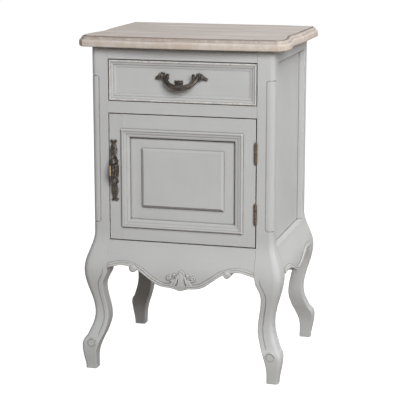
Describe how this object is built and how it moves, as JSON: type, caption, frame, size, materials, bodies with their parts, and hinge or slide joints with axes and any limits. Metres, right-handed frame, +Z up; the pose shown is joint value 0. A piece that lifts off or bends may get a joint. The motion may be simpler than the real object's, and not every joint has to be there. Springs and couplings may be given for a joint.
{
  "type": "nightstand",
  "caption": "Painted bedside cabinet on cabriole legs with a drawer over a panelled door, a scrolled apron and a shaped limewashed wooden top.",
  "frame": {"origin": "on the floor, under the middle of the bounding box", "axes": "+Z up; the front with drawer and door faces -Y; +X is on the right of someone facing the front"},
  "size_m": [0.437, 0.3805, 0.7],
  "materials": {
    "painted_wood": "satin chalk paint",
    "limed_top": "limewashed, matt",
    "raw_wood": "sanded, unfinished",
    "plywood": "sanded, unfinished",
    "antique_bronze": "antiqued, rubbed",
    "hinge_bronze": "bronzed",
    "steel": "zinc plated",
    "catch_plastic": "moulded"
  },
  "bodies": {
    "carcass": {"left_side_panel": "painted_wood", "right_side_panel": "painted_wood", "left_side_top_rail": "painted_wood", "right_side_top_rail": "painted_wood", "left_side_apron": "painted_wood", "right_side_apron": "painted_wood", "left_floor_bearer": "raw_wood", "right_floor_bearer": "raw_wood", "left_drawer_runner": "raw_wood", "right_drawer_runner": "raw_wood", "left_drawer_guide": "raw_wood", "right_drawer_guide": "raw_wood", "left_drawer_kicker": "raw_wood", "right_drawer_kicker": "raw_wood", "front_left_leg": "painted_wood", "front_right_leg": "painted_wood", "rear_left_leg": "painted_wood", "rear_right_leg": "painted_wood", "top_panel": "limed_top", "front_top_rail": "painted_wood", "front_middle_rail": "painted_wood", "front_apron": "painted_wood", "apron_shell": "painted_wood", "back_panel": "plywood", "back_top_rail": "painted_wood", "back_bottom_rail": "painted_wood", "back_panel_pins": "steel", "cabinet_floor": "plywood", "drawer_stops": "raw_wood", "top_fixing_screws": "steel", "upper_hinge_post_leaf": "hinge_bronze", "lower_hinge_post_leaf": "hinge_bronze", "hinge_pins": "hinge_bronze", "hinge_post_screws": "hinge_bronze", "magnetic_catch": "catch_plastic", "catch_screws": "steel"},
    "drawer": {"drawer_front": "painted_wood", "drawer_left_side": "raw_wood", "drawer_right_side": "raw_wood", "drawer_back": "raw_wood", "drawer_bottom": "plywood", "drawer_pull": "antique_bronze", "drawer_pull_screws": "steel"},
    "door": {"door_left_stile": "painted_wood", "door_right_stile": "painted_wood", "door_top_rail": "painted_wood", "door_bottom_rail": "painted_wood", "door_panel": "painted_wood", "door_top_moulding": "painted_wood", "door_bottom_moulding": "painted_wood", "door_left_moulding": "painted_wood", "door_right_moulding": "painted_wood", "upper_hinge_door_leaf": "hinge_bronze", "lower_hinge_door_leaf": "hinge_bronze", "hinge_door_screws": "hinge_bronze", "door_pull": "antique_bronze", "door_pull_screws": "steel", "strike_plate": "steel", "strike_screw": "steel"}
  },
  "joints": [
    {"name": "drawer_slide", "type": "slide", "parent": "carcass", "child": "drawer", "axis": [0, -1, 0], "range_m": [0, 0.2]},
    {"name": "door_hinge", "type": "hinge", "parent": "carcass", "child": "door", "pos_m": [0.1545, -0.16255, 0.4105], "axis": [0, 0, 1], "range_deg": [0, 165]}
  ]
}
